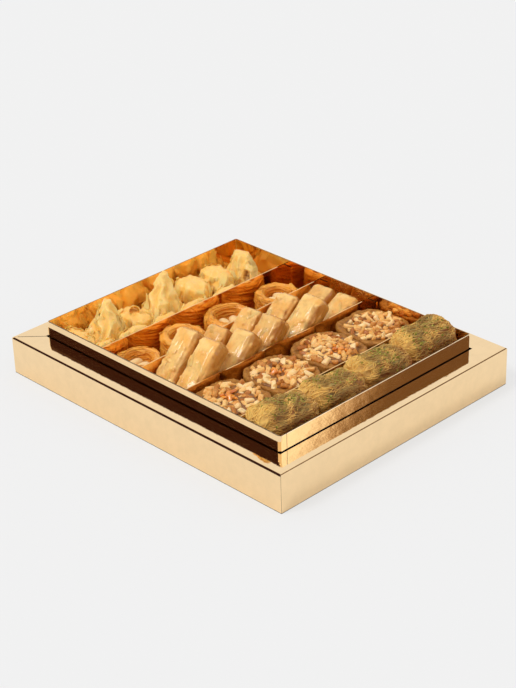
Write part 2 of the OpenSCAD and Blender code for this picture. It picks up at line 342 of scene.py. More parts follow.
def pastry(name, stops, coarse, fine, roughness, bump_height, coat=0.0, glow=0.0, island=0.0, weave=0.5, tinted=False,
           shine=0.5):
    """Baked or candied food, or board: tones by mottling, by piece and by grain, with a syrup coat where it has one."""
    finish, tree, skin, mottle = new_finish(name, coarse, fine)
    tone = node_of(tree, "ShaderNodeMix", {"Factor": weave, "A": mottle["Mottle"], "B": mottle["Grain"]})
    source = tone.outputs["Result"]
    if island:
        chance = node_of(tree, "ShaderNodeNewGeometry").outputs["Random Per Island"]
        source = reckon(tree, "ADD", source, reckon(tree, "MULTIPLY_ADD", chance, island, -island / 2))
    colour = ramp(tree, stops, source)
    if tinted:
        own = node_of(tree, "ShaderNodeAttribute", attribute_name="tint").outputs["Color"]
        colour = multiplied(tree, own, colour)
    rough = node_of(tree, "ShaderNodeMapRange", {"Value": mottle["Grain"], "From Min": 0.3, "From Max": 0.7,
                                                 "To Min": roughness[0], "To Max": roughness[1]})
    bump = node_of(tree, "ShaderNodeBump", {"Distance": bump_height, "Height": mottle["Grain"]})
    feed(tree, skin, {"Base Color": colour, "Roughness": rough.outputs["Result"], "Normal": bump.outputs["Normal"],
                      "Specular IOR Level": shine, "Coat Weight": coat, "Coat Roughness": 0.12,
                      "Subsurface Weight": glow, "Subsurface Radius": (1.0, 0.5, 0.2), "Subsurface Scale": 0.003})
    return finish


# Foil: colour, roughness, depth of the dents in metres, dents per metre.
FOIL_FRAME = foil("gold foil of the frame", (1.0, 0.735, 0.42), 0.05, 0.00006, 120)
FOIL_TRAY = foil("gold foil of the tray", (1.0, 0.72, 0.40), 0.05, 0.00003, 60)
FOIL_STRIP = foil("gold foil of the dividers", (1.0, 0.64, 0.27), 0.08, 0.00006, 80)
# The deeper gold inside the tray is painted reflection: it stands in for light bouncing between the gold walls.
FOIL_INSIDE_PAINTED_REFLECTION = foil("gold foil inside the tray", (1.0, 0.66, 0.27), 0.07, 0.00005, 70)
# Pastry: tones, coarse and fine mottling per metre, roughness, height of the grain in metres.
# The cut edge's finish also draws the dark line at the frame's foot, which is partly painted contact shadow.
CUT_EDGE = pastry("cut edge of the card", ((0.3, (0.05, 0.028, 0.01)), (0.7, (0.1, 0.055, 0.02))),
                  300, 2500, (0.6, 0.9), 0.0001)
GREY_BOARD = pastry("grey board", ((0.3, (0.36, 0.33, 0.29)), (0.7, (0.5, 0.47, 0.42))), 300, 2500, (0.8, 0.95), 0.0001)
DULL_TO_BRIGHT = ((0.25, (0.74, 0.66, 0.58)), (0.48, (0.98, 0.96, 0.94)), (0.7, (1, 1, 1)))
BARELY_DULL = ((0.25, (0.86, 0.8, 0.72)), (0.45, (1, 0.99, 0.98)), (0.7, (1, 1, 1)))
SHRED = pastry("golden shreds", DULL_TO_BRIGHT, 260, 1500, (0.45, 0.7), 0.0001,
               glow=0.2, island=0.4, tinted=True, shine=0.35)
SHRED_CORE = pastry("matted shreds", DULL_TO_BRIGHT, 420, 1900, (0.5, 0.8), 0.0006, glow=0.1, weave=0.6, tinted=True)
PISTACHIO = pastry("ground pistachio", ((0.25, (0.1, 0.095, 0.008)), (0.5, (0.24, 0.22, 0.03)),
                                        (0.75, (0.46, 0.4, 0.08))),
                   300, 1500, (0.5, 0.8), 0.0001, island=0.5, shine=0.12)
CARAMEL = pastry("brown caramel", ((0.3, (0.17, 0.052, 0.007)), (0.5, (0.38, 0.15, 0.024)), (0.72, (0.6, 0.29, 0.06))),
                 260, 1100, (0.4, 0.65), 0.0003, glow=0.1, shine=0.22)
AMBER = pastry("amber between the nuts", ((0.3, (0.1, 0.027, 0.003)), (0.7, (0.38, 0.14, 0.016))),
               300, 1400, (0.3, 0.5), 0.0003, coat=0.05)
NUT = pastry("chopped nuts", ((0.2, (0.42, 0.13, 0.016)), (0.4, (0.76, 0.34, 0.07)), (0.6, (0.92, 0.54, 0.18)),
                              (0.86, (0.97, 0.68, 0.34))),
             250, 1500, (0.35, 0.6), 0.0001, coat=0.12, glow=0.2, island=0.7, shine=0.3)
CANDIED = pastry("candied peel", ((0.3, (0.62, 0.15, 0.008)), (0.7, (1.0, 0.4, 0.04))),
                 300, 1500, (0.2, 0.4), 0.0002, coat=0.5, glow=0.2, island=0.3)
FILO = pastry("finger filo", DULL_TO_BRIGHT, 140, 1300, (0.3, 0.5), 0.0003,
              coat=0.45, glow=0.25, weave=0.3, tinted=True, shine=0.2)
NEST_GOLD = pastry("nest filo", DULL_TO_BRIGHT, 160, 1100, (0.25, 0.5), 0.0002,
                   coat=0.15, glow=0.2, island=0.2, tinted=True, shine=0.35)
CASHEW = pastry("pale cashew", ((0.3, (0.84, 0.52, 0.2)), (0.7, (0.95, 0.7, 0.36))),
                120, 1200, (0.35, 0.55), 0.0001, glow=0.1, shine=0.25)
PARCEL = pastry("pale filo", BARELY_DULL, 130, 1100, (0.3, 0.55), 0.0002,
                coat=0.2, glow=0.3, weave=0.35, tinted=True, shine=0.4)


# ---------------------------------------------------------------- frame and tray in gold card

FRAME_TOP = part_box("frame_rail_front")[1].z
FRAME_X, FRAME_Y = cad_high.x, cad_high.y
WELL = 17.5 * MM            # from the frame's outer face to its inner fold
LIP = 0.9 * MM              # how far the inner fold leans in
FOLDS = {"front": 1.4, "back": 1.2, "left": 2.7, "right": 1.2}      # radius in millimetres
SEAM = 1.1 * MM             # dark line along the mitre
# The dark line at the foot is the card's edge where it wraps under, and partly painted contact shadow.
FOOT = 0.45 * MM            # dark line at the foot
CORNER_LINE = 0.3 * MM      # dark line at the front left corner
CARD = 1.0 * MM
CUT_WIDTH = 0.5 * MM        # dark line along the rim
LAP_AT = (6.3 * MM, 6.85 * MM)
CREASE = 4.2 * MM           # under the tray's rim
DRAWN_IN = 0.66 * MM        # the left wall's top
RIM_ROUND = 0.3 * MM
OUTER_RIM = 0.9 * MM
WALL_REACH = 2.5 * MM
TINY = 0.02 * MM
SHARP = 0.7                 # angle of an edge that may be rounded, in radians


def round_edges(piece, test, width, segments):
    """Rounds the sharp edges whose two ends pass the test."""
    def chosen(edge):
        sharp = len(edge.link_faces) == 2 and edge.calc_face_angle(0) > SHARP
        return sharp and all(test(v.co) for v in edge.verts)

    bevel(piece, chosen, offset=width, segments=segments, profile=0.5, clamp_overlap=True)


def flat_faces_only(piece):
    """Turns loose triangles back into whole flat faces."""
    edit_all(piece)
    bpy.ops.mesh.dissolve_limited(angle_limit=math.radians(1))
    leave_edit()


def crisp(piece, angle):
    """Smooth over rounded edges only, with the flat faces kept flat."""
    smooth(piece, angle)
    return work(piece, "WEIGHTED_NORMAL", weight=100, keep_sharp=True)


def narrow_well(rail):
    """Leans the top of the inner fold towards the tray, so that only a thin gap shows."""
    inner_x, inner_y = FRAME_X - WELL, FRAME_Y - WELL
    for vertex in rail.data.vertices:
        if vertex.co.z > FRAME_TOP - TINY:
            if abs(abs(vertex.co.x) - inner_x) < TINY and abs(vertex.co.y) < inner_y + TINY:
                vertex.co.x -= math.copysign(LIP, vertex.co.x)
            if abs(abs(vertex.co.y) - inner_y) < TINY and abs(vertex.co.x) < inner_x + TINY:
                vertex.co.y -= math.copysign(LIP, vertex.co.y)


def on_seam(c):
    """How far a place lies past the mitre at the back left corner, along Y."""
    return (c.y - FRAME_Y) + (c.x + FRAME_X)


def folded_rail(side):
    """One rail of the frame with the folds along its ledge, and its dark lines at the foot, the mitre and a corner; the
    line at the foot is the card's edge where it wraps under, and partly painted contact shadow.
    """
    rail = copy_of("frame_rail_" + side, "frame_rail_" + side + "_card")
    across = side in ("left", "right")
    reach = FRAME_X if across else FRAME_Y

    def outermost(c):
        return abs(c.x if across else c.y) > reach - TINY

    flat_faces_only(rail)
    narrow_well(rail)
    cut(rail, ((0, 0, FOOT), (0, 0, 1)))
    if side == "left":
        cut(rail, ((-FRAME_X, FRAME_Y - SEAM, 0), (1, 1, 0)))
    round_edges(rail, lambda c: c.z > FRAME_TOP - TINY and outermost(c), FOLDS[side] * MM, 3)
    if side == "front":
        cut(rail, ((-FRAME_X + CORNER_LINE, 0, 0), (1, 0, 0)))
    crisp(rail, 35)
    dress(rail, FOIL_FRAME, CUT_EDGE)
    for face in rail.data.polygons:
        c, n = face.center, face.normal
        # partly painted contact shadow: the dark line along the foot of the outer faces
        foot = c.z < FOOT and outermost(c)
        seam = side == "left" and n.z > 0.9 and c.z > FRAME_TOP - TINY and on_seam(c) > -SEAM
        corner = side == "front" and n.y < -0.9 and c.x < -FRAME_X + CORNER_LINE
        if foot or seam or corner:
            face.material_index = 1
    return belongs(rail, "frame", "gold_board", "frame_rail_" + side)


def tray_card():
    """The tray's wall, its left side drawn in a little above a soft crease.

    It has a mirror outside, a deeper gold inside that is painted reflection, standing in for light bouncing between the
    gold walls, and the dark cut edge of the card along its rim and in its lap.
    """
    wall = copy_of("tray_wall", "tray_wall_card")
    flat_faces_only(wall)
    low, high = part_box("tray_wall")
    edge_x, edge_y = high.x - CARD + CUT_WIDTH, high.y - CARD + CUT_WIDTH
    cut(wall, ((0, 0, high.z - CREASE), (0, 0, 1)), ((edge_x, 0, 0), (1, 0, 0)), ((-edge_x, 0, 0), (-1, 0, 0)),
        ((0, edge_y, 0), (0, 1, 0)), ((0, -edge_y, 0), (0, -1, 0)))
    round_edges(wall, lambda c: c.z > high.z - TINY
                and (abs(c.x) >= high.x - OUTER_RIM or abs(c.y) >= high.y - OUTER_RIM), RIM_ROUND, 2)
    for vertex in wall.data.vertices:
        inwards = vertex.co.x - low.x
        if inwards < WALL_REACH and vertex.co.z > high.z - 2 * MM:
            vertex.co.x += DRAWN_IN * min(1, max(0, (WALL_REACH - inwards) / WALL_REACH) * 1.6)
    crisp(wall, 5)
    dress(wall, FOIL_TRAY, CUT_EDGE, FOIL_INSIDE_PAINTED_REFLECTION)
    for face in wall.data.polygons:
        c, n = face.center, face.normal
        rim = n.z > 0.7 and c.z > high.z - TINY and abs(c.x) < edge_x and abs(c.y) < edge_y
        lap = abs(n.z) < 0.5 and c.y < low.y + 1 * MM and LAP_AT[0] < c.x - low.x < LAP_AT[1]
        if rim or lap:
            face.material_index = 1
        # faces that look inwards take the deeper gold, a painted reflection
        elif c.x * n.x + c.y * n.y < -0.02 and abs(n.z) < 0.5:
            face.material_index = 2
    return belongs(wall, "tray", "gold_board", "tray_wall")


for side in ("front", "back", "left", "right"):
    folded_rail(side)
tray_card()
for node, finish in (("frame_base", GREY_BOARD), ("tray_floor", FOIL_TRAY)):
    dress(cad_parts[node], finish)
for i in range(1, 5):
    dress(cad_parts[f"divider_{i}"], FOIL_STRIP)


# ---------------------------------------------------------------- shreds, laid along a surface

def surface_of(piece):
    sheet = bmesh.new()
    sheet.from_mesh(piece.data)
    tree = BVHTree.FromBMesh(sheet)
    sheet.free()
    return tree


def spots_on(piece, count, draw, test=lambda p, n: True):
    """Random spots on a piece's faces, by area, as (place, normal)."""
    faces = [f for f in piece.data.polygons if test(f.center, f.normal)]
    areas = [f.area for f in faces]
    found = []
    for face in draw.choices(faces, areas, k=count):
        corners = [piece.data.vertices[v].co for v in face.vertices]
        weights = [draw.random() for c in corners]
        total = sum(weights)
        found.append((sum((c * w for c, w in zip(corners, weights)), Vector()) / total, face.normal.copy()))
    return found


SHRED_STEP = 3.5
BEND = 0.12


def shreds_on(core, name, count, length, thick, heading, draw, spread, lift):
    """Shreds of dough that lie along the core's surface, each a thin bent thread. Sizes are in millimetres."""
    surface = surface_of(core)
    threads = bpy.data.curves.new(name, "CURVE")
    threads.dimensions = "3D"
    threads.bevel_depth = thick / 2 * MM
    threads.bevel_resolution = 0
    threads.use_fill_caps = True
    for start, normal in spots_on(core, count, draw):
        way = heading(start)
        way.rotate(Quaternion(normal, draw.gauss(0, spread)))
        steps = max(4, int(length * draw.uniform(0.5, 1) / SHRED_STEP))
        turn = draw.gauss(0, BEND)
        above = draw.uniform(0.1, 1) * lift
        spot, points = start.copy(), []
        for step in range(steps):
            near, normal = surface.find_nearest(spot)[:2]
            points.append(near + normal * (above + draw.uniform(-0.2, 0.35)) * MM)
            way = (way - normal * way.dot(normal)).normalized()
            way.rotate(Quaternion(normal, turn + draw.gauss(0, BEND)))
            spot = near + way * SHRED_STEP * MM
        thread = threads.splines.new("POLY")
        thread.points.add(len(points) - 1)
        for place, point in zip(thread.points, points):
            place.co = (*point, 1)
            place.radius = draw.uniform(0.75, 1.2)
    only(placed(name, threads))
    bpy.ops.object.convert(target="MESH")
    return smooth(newest(name))


def crumb(size, draw):
    """One small broken crumb."""
    bpy.ops.mesh.primitive_ico_sphere_add(subdivisions=1, radius=size / 2 * MM)
    piece = newest("crumb")
    for vertex in piece.data.vertices:
        vertex.co *= draw.uniform(0.72, 1.2)
    return piece


def scatter(name, models, spots, draw, sizes, tumble, sink):
    """Copies of the models on these spots, as one mesh. Each copy has its own size and turn."""
    sheet = bmesh.new()
    for place, normal in spots:
        model = draw.choice(models)
        size = draw.uniform(*sizes)
        turn = normal.to_track_quat("Z", "Y")
        for axis, angle in (((0, 0, 1), draw.uniform(0, 6.283)), ((1, 0, 0), draw.gauss(0, tumble)),
                            ((0, 1, 0), draw.gauss(0, tumble))):
            turn = turn @ Quaternion(axis, angle)
        move = Matrix.Translation(place - normal * sink * MM) @ turn.to_matrix().to_4x4() @ Matrix.Scale(size, 4)
        before = len(sheet.verts)
        sheet.from_mesh(model.data)
        sheet.verts.ensure_lookup_table()
        for vertex in sheet.verts[before:]:
            vertex.co = move @ vertex.co
    return placed_sheet(name, sheet)


def drop(*pieces):
    for piece in pieces:
        bpy.data.objects.remove(piece)


# ---------------------------------------------------------------- front row: shredded rolls with pistachio

ROLL_TURNS = (-9, -9, -9, -12)
# The brown on this line and the orange-brown below it are painted shade, on the side that faces the front and
# underneath the roll; golden and olive are the roll's own tones.
GOLDEN, OLIVE, SHADE_BROWN = (1.0, 0.6, 0.14), (0.22, 0.185, 0.045), (0.4, 0.14, 0.03)
UNDERSIDE_SHADE = (0.72, 0.26, 0.03)


def roll_tones(centre, along, i):
    """Golden along the far side and the left end, olive with pistachio on top, with painted shade: browner on the side
    that faces the front, less of it at the left end, and orange-brown underneath and low at the front.
    """
    across = Vector((-along.y, along.x, 0))

    def tone(p, n):
        out = p - centre
        wobble = noise.noise(p * 130 + Vector((i, 0, 0)))
        end = between(-9, -19, out.dot(along) / MM + 5 * wobble)
        far = between(0.1, 0.75, n.dot(across) + 0.3 * wobble)
        # painted shade: browner on faces that turn to the front
        front = between(-0.05, 0.5, -n.dot(across) + 0.4 * wobble)
        green = between(0.3, 0.75, n.z) * between(19, 12, abs(out.dot(along)) / MM + 3 * wobble)
        green *= 0.85 * between(-0.35, 0, wobble)
        colour = blend_tone(GOLDEN, SHADE_BROWN, front * (1 - 0.6 * end))
        colour = blend_tone(colour, OLIVE, 0.9 * green * (1 - 0.7 * far) * (1 - 0.9 * end))
        # painted shade underneath the roll and low at its front
        foot = between(0.6, 0.95, -n.z + 0.2 * wobble) + between(-4, -9, out.z / MM) * front
        return blend_tone(colour, UNDERSIDE_SHADE, 0.7 * min(1, foot))
    return tone


def in_shade(tone):
    """The same tones, a fifth darker, for what lies under the shreds."""
    return lambda p, n: tuple(c * 0.8 for c in tone(p, n))


def shred_piece(core, name, count, along, draw, tone, thick):
    shreds = shreds_on(core, name, count, 22, thick, lambda p: along.copy(), draw, 0.42, 0.45)
    return coloured(shreds, tone, SHRED)


def shredded_roll(i):
    draw = random.Random(100 + i)
    node = f"kadaif_roll_{i}"
    centre = middle(node)[0]
    turn = math.radians(ROLL_TURNS[i - 1])
    along = Vector((math.cos(turn), math.sin(turn), 0))
    across = Vector((-along.y, along.x, 0))
    tone = roll_tones(centre, along, i)

    def matted(p, n):
        out = p - centre
        strand = Vector((out.dot(along) * 90, out.dot(across) * 420, out.z * 420)) + Vector((i, 0, 0))
        lumps = 1.7 * noise.noise(p * 120 + Vector((0, 0, i))) + 0.8 * noise.noise(p * 260)
        return lumps + 0.6 * noise.noise(strand) - 0.5

    def green(p, n):
        cluster = (p - (centre + along * 0.004 + OUT * 0.013)).length < 0.0065
        side = abs((p - centre).dot(along))
        return cluster or (n.z > 0.3 and side < 0.017 and noise.noise(p * 120 + Vector((i, 0, 0))) > 0.02)

    core = remesh(copy_of(node, f"roll_{i}_core"), 1.0)
    knead(core, matted)
    smooth(coloured(core, in_shade(tone), SHRED_CORE))
    shreds = shred_piece(core, f"roll_{i}_shreds", 760, along, draw, tone, 0.7)
    crumbs = [crumb(1.5, draw) for n in range(4)]
    dust = scatter(f"roll_{i}_pistachio", crumbs, spots_on(core, 130, draw, green), draw, (0.5, 1.2), 1.5, -0.4)
    drop(*crumbs)
    belongs(core, node, "kadaif", node)
    belongs(shreds, node, "kadaif")
    belongs(dress(dust, PISTACHIO), node, "kadaif")


for i in range(1, 5):
    shredded_roll(i)


def lower_rolls():
    """The rolls of the lower layer, which lie on the tray's floor."""
    def plain(p, n):
        return blend_tone(GOLDEN, OLIVE, between(0.3, 0.8, n.z) * between(-0.2, 0.2, noise.noise(p * 90)))

    core = remesh(copy_of("kadaif_under_layer", "lower_rolls_core"), 1.3)
    knead(core, lambda p, n: 0.9 * noise.noise(p * 190) - 0.3)
    smooth(coloured(core, in_shade(plain), SHRED_CORE))
    along = Vector((1, -0.1, 0)).normalized()
    shreds = shred_piece(core, "lower_rolls_shreds", 1300, along, random.Random(150), plain, 0.9)
    belongs(core, "tray", "kadaif", "kadaif_under_layer")
    belongs(shreds, "tray", "kadaif")


lower_rolls()


# ---------------------------------------------------------------- second row: caramel nut cakes

CAKE_TILTS = (1.2, -1, 1.4, -0.8)
PEEL_SPOTS = ((-0.5, 2), (-1, 0.5), (2, -7), None)
PEEL_REACH = 6.8
FILLED = 20.8 * MM
CAKE_X, CAKE_Y, CAKE_CORNER = 48.4 * MM, 52.2 * MM, 16.5 * MM
SLAB_HIGH, NUTS_AT, LOWER_GAP = 14.2 * MM, 14.4 * MM, 1.6 * MM
NUT_SIZES = ((7.8, 3.4, 2.6), (6.6, 3.9, 2.8), (5.2, 4.1, 3.1), (7.0, 2.9, 2.4), (4.8, 3.7, 2.9))


def nut_models(draw):
    """Slivers, halves and broken bits, each modelled once."""
    made = []
    for length, width, thick in NUT_SIZES:
        bpy.ops.mesh.primitive_cube_add(size=1)
        bit = newest("bit")
        bit.scale = (length * MM, width * MM, thick * MM)
        settle(bit)
        for vertex in bit.data.vertices:
            vertex.co.x += draw.uniform(-0.7, 0.7) * MM
            vertex.co.y += draw.uniform(-0.6, 0.6) * MM
            vertex.co.z += draw.uniform(-0.3, 0.3) * MM
        work(bit, "BEVEL", width=0.75 * MM, segments=2, limit_method="NONE")
        made.append(smooth(bit))
    return made


def round_spots(radius, spacing, draw):
    """Places in a disc that keep their distance."""
    found = []
    for attempt in range(3000):
        angle, reach = draw.uniform(0, 6.2832), radius * math.sqrt(draw.random())
        spot = (reach * math.cos(angle), reach * math.sin(angle))
        if all((spot[0] - o[0]) ** 2 + (spot[1] - o[1]) ** 2 > spacing ** 2 for o in found):
            found.append(spot)
    return found


def caramel_slab(name, x, y, bottom, height, i):
    """A rounded square of caramel with a low rim, kneaded a little."""
    bpy.ops.mesh.primitive_cube_add(size=1, location=(x, y, bottom + height / 2))
    slab = newest(name)
    slab.scale = (CAKE_X, CAKE_Y, height)
    settle(slab)
    bevel(slab, lambda edge: abs((edge.verts[0].co - edge.verts[1].co).z) > 5 * MM, offset=CAKE_CORNER, segments=7)
    select_faces(slab, lambda c, n: n.z > 0.9)
    for inwards, rise in ((2, 0.7), (2.4, -1.3)):
        bpy.ops.mesh.inset(thickness=inwards * MM)
        bpy.ops.transform.translate(value=(0, 0, rise * MM))
    leave_edit()
    remesh(slab, 1.0)
    work(slab, "SMOOTH", factor=0.6, iterations=4)
    knead(slab, lambda p, n: 1.1 * noise.noise(p * 190 + Vector((0, i, 0))) + 0.5 * noise.noise(p * 520) - 0.2)
    return smooth(dress(slab, CARAMEL))


def nut_filling(name, x, y, top, draw, tilt=0, peel_at=None):
    """Chopped nuts set close together in amber syrup, with candied peel among them."""
    bits = nut_models(draw)
    spots, peel = [], []
    for layer, spacing in ((-1.3, 4.4), (0.1, 4.1)):
        for dx, dy in round_spots(FILLED, spacing * MM, draw):
            level = top + dy * math.sin(tilt) + (layer + draw.uniform(-0.35, 0.55)) * MM
            near_peel = peel_at and math.hypot(dx / MM - peel_at[0], dy / MM - peel_at[1]) < PEEL_REACH
            chosen = peel if near_peel and draw.random() < 0.93 else spots
            chosen.append((Vector((x + dx, y + dy, level)), OUT))
    made = [dress(scatter(name + "_nuts", bits, spots, draw, (0.8, 1.22), 0.45, 0.1), NUT)]
    bpy.ops.mesh.primitive_cylinder_add(vertices=48, radius=22.0 * MM, depth=1.6 * MM, location=(x, y, top - 0.55 * MM))
    syrup = settle(newest(name + "_syrup"))
    remesh(syrup, 1)
    knead(syrup, lambda p, n: 0.7 * noise.noise(p * 300))
    made.append(dress(syrup, AMBER))
    if peel:
        made.append(dress(scatter(name + "_peel", bits, peel, draw, (0.6, 0.95), 0.7, -0.6), CANDIED))
    drop(*bits)
    return [smooth(part) for part in made]


def nut_cake(i):
    draw = random.Random(200 + i)
    node = f"nut_cake_{i}"
    centre, low = middle(node)[:2]
    slab = caramel_slab(f"cake_{i}_caramel", centre.x, centre.y, low.z, SLAB_HIGH, i)
    parts = nut_filling(f"cake_{i}", centre.x, centre.y, low.z + NUTS_AT, draw, math.radians(CAKE_TILTS[i - 1]),
                        PEEL_SPOTS[i - 1])
    belongs(slab, node, "caramel", node)
    for part in parts:
        belongs(part, node, "caramel")


def lower_cake(i):
    """A cake of the lower layer, as high as the room under the upper one."""
    low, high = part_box("nut_cake_under_layer")
    centre = middle(f"nut_cake_{i}")[0]
    height = high.z - low.z - LOWER_GAP
    slab = caramel_slab(f"lower_cake_{i}_caramel", centre.x, centre.y, low.z, height - 0.6 * MM, i + 4)
    parts = nut_filling(f"lower_cake_{i}", centre.x, centre.y, low.z + height - 0.9 * MM, random.Random(250 + i))
    for part in [slab] + parts:
        belongs(part, "tray", "caramel", "nut_cake_under_layer")


for i in range(1, 5):
    nut_cake(i)
    lower_cake(i)


# ---------------------------------------------------------------- filo in thin flakes

ALONG_STEPS, ACROSS_STEPS = 4, 3


def flakes_on(core, name, count, size, heading, draw, curl, lift, thick, test):
    """Thin leaves of filo that follow the core's surface and curl away from it at one end. Sizes are in millimetres."""
    surface = surface_of(core)
    sheet = bmesh.new()
    for start, normal in spots_on(core, count, draw, test):
        way = heading(start, normal)
        way = way - normal * way.dot(normal)
        if way.length < 0.1:
            continue
        way.normalize()
        way.rotate(Quaternion(normal, draw.gauss(0, 0.35)))
        side = normal.cross(way)
        length, width = size[0] * draw.uniform(0.6, 1) * MM, size[1] * draw.uniform(0.6, 1) * MM
        rise = curl * draw.uniform(0.3, 1)
        rows = []
        for a in range(ALONG_STEPS + 1):
            row = []
            for b in range(ACROSS_STEPS + 1):
                u, v = a / ALONG_STEPS, b / ACROSS_STEPS - 0.5
                edge = a in (0, ALONG_STEPS) or b in (0, ACROSS_STEPS)
                ragged = draw.uniform(-0.12, 0.12) if edge else 0
                target = start + way * (u - 0.5 + ragged) * length + side * (v + ragged) * width * (1 - 0.25 * u)
                near, near_normal = surface.find_nearest(target)[:2]
                above = (lift + rise * u ** 3 + (0.25 * rise * abs(v) * u)) * MM
                row.append(sheet.verts.new(near + near_normal * above))
            rows.append(row)
        for a in range(ALONG_STEPS):
            for b in range(ACROSS_STEPS):
                sheet.faces.new((rows[a][b], rows[a + 1][b], rows[a + 1][b + 1], rows[a][b + 1]))
    piece = placed_sheet(name, sheet)
    select_faces(piece, lambda c, n: True)
    bpy.ops.mesh.normals_make_consistent(inside=False)
    leave_edit()
    work(piece, "SOLIDIFY", thickness=thick * MM, offset=0)
    work(piece, "SUBSURF", levels=1, render_levels=1)
    return smooth(piece)


def main_axes(piece):
    """The centre, long axis and upward axis of a long piece, from its vertices."""
    points = [v.co for v in piece.data.vertices][::5]
    centre = sum(points, Vector()) / len(points)
    long = Vector((0.6, 0.8, 0))
    for turn in range(12):
        grown = sum(((p - centre) * (p - centre).dot(long) for p in points), Vector())
        long = grown.normalized()
    if long.y < 0:
        long = -long
    up = (OUT - long * long.z).normalized()
    return centre, long, up


# ---------------------------------------------------------------- third row: rolled filo fingers

FILO_PALE, FILO_GOLD, FILO_BROWN = (0.93, 0.6, 0.2), (0.91, 0.49, 0.12), (0.48, 0.175, 0.02)
# Brown patches by finger, as (millimetres along it, strength), and the extra toast of whole fingers.
BROWN_PATCH = {8: (3, 0.6), 2: (-6, 0.35), 7: (4, 0.35)}
BAKED = {5: 0.16, 8: 0.22, 2: 0.1, 10: 0.06, 3: 0.04, 4: 0.04, 6: -0.08}


def filo_finger(i):
    """A rolled finger: a lapped skin, blisters and wrinkles, layers at its ends, and a few loose flakes."""
    draw = random.Random(300 + i)
    node = f"finger_{i}"
    body = node if i in (1, 6) else "tray"
    finger = remesh(copy_of(node, f"finger_{i}_filo"), 0.8)
    centre, long, up = main_axes(finger)
    side = long.cross(up)
    reach = max(abs((v.co - centre).dot(long)) for v in finger.data.vertices)
    work(finger, "SMOOTH", factor=0.5, iterations=16)

    def local(p):
        out = p - centre
        return out.dot(long) / MM, out.dot(side) / MM, out.dot(up) / MM

    def on_flap(c, n):
        a, b, h = local(c)
        return n.dot(up) > -0.2 and b > -3.6 + 0.9 * noise.noise(Vector((a * 0.09, i, 0))) \
            and abs(a) < reach / MM - 0.8 - 0.9 * noise.noise(Vector((b * 0.4, i, 3)))

    select_faces(finger, on_flap)
    bpy.ops.mesh.extrude_region_shrink_fatten(TRANSFORM_OT_shrink_fatten={"value": 0.22 * MM})
    leave_edit()

    def rolled(p, n):
        a, b, h = local(p)
        wrinkle = 0.5 * noise.noise(Vector((a * 0.09, b * 0.4, h * 0.4 + i)))
        blister = 0.8 * between(0.25, 0.6, noise.noise(p * 210 + Vector((i, 0, 0))))
        swell = 0.6 * noise.noise(Vector((a * 0.08 + 5 * i, b * 0.07, h * 0.07)))
        end = between(0.6, 0.9, abs(n.dot(long)))
        layers = 0.5 * math.sin(math.hypot(b, h * 1.2) * 3.3) * end
        return swell + wrinkle + blister * (1 - end) + layers + 0.05

    knead(finger, rolled)

    def tone(p, n):
        a, b, h = local(p)
        wobble = noise.noise(p * 90 + Vector((i, 0, 0)))
        speck = between(0.1, 0.45, noise.noise(p * 380))
        stain = between(0.15, 0.5, noise.noise(p * 200 + Vector((0, i, 0))))
        colour = blend_tone(FILO_GOLD, FILO_PALE, between(-0.3, 0.3, wobble) * between(0.1, 0.8, n.dot(up)))
        # Painted shade: faces turned to the front (-Y), towards the divider, go browner; the cut ends, the last
        # millimetres, specks, stains, brown patches and the extra bake per finger are the pastry's own toast.
        toast_and_shade = 0.8 * between(0.3, 0.95, -n.y + 0.4 * wobble) + 0.5 * between(0.75, 0.95, abs(n.dot(long)))
        toast_and_shade += 0.3 * between(2.5, 0, reach / MM - abs(a)) + 0.14 * speck + 0.14 * stain + BAKED.get(i, 0)
        # browner towards the lower end
        toast_and_shade += 0.3 * between(-0.35, -1, a * MM / reach)
        if i in BROWN_PATCH:
            away, strength = BROWN_PATCH[i]
            toast_and_shade += strength * between(6, 2, math.hypot(a - away, b + 2) + 2 * wobble)
        return blend_tone(colour, FILO_BROWN, min(1, max(0, toast_and_shade)))

    keep_low(smooth(coloured(finger, tone, FILO), 50))
    flakes = flakes_on(finger, f"finger_{i}_flakes", 7, (12, 4), lambda p, n: long * draw.choice((-1, 1)), draw,
                       0.3, 0.04, 0.16, lambda c, n: abs(n.dot(long)) < 0.5 and n.z > -0.3)
    keep_low(coloured(flakes, tone, FILO))
    belongs(finger, body, "filo", node)
    belongs(flakes, body, "filo")


for i in range(1, 11):
    filo_finger(i)


# ---------------------------------------------------------------- fourth row: nests with cashews

# The lit and the shaded gold of the nests' painted light and shade.
NEST_LIT, NEST_SHADED = (0.94, 0.41, 0.048), (0.78, 0.23, 0.01)


# Painted light and shade: brighter where the surface faces up, deeper gold where it turns sideways or down, broken up
# by a random wobble.
def nest_tones(p, n):
    wobble = noise.noise(p * 140)
    return blend_tone(NEST_SHADED, NEST_LIT, between(-0.5, 0.6, n.z + 0.6 * wobble))


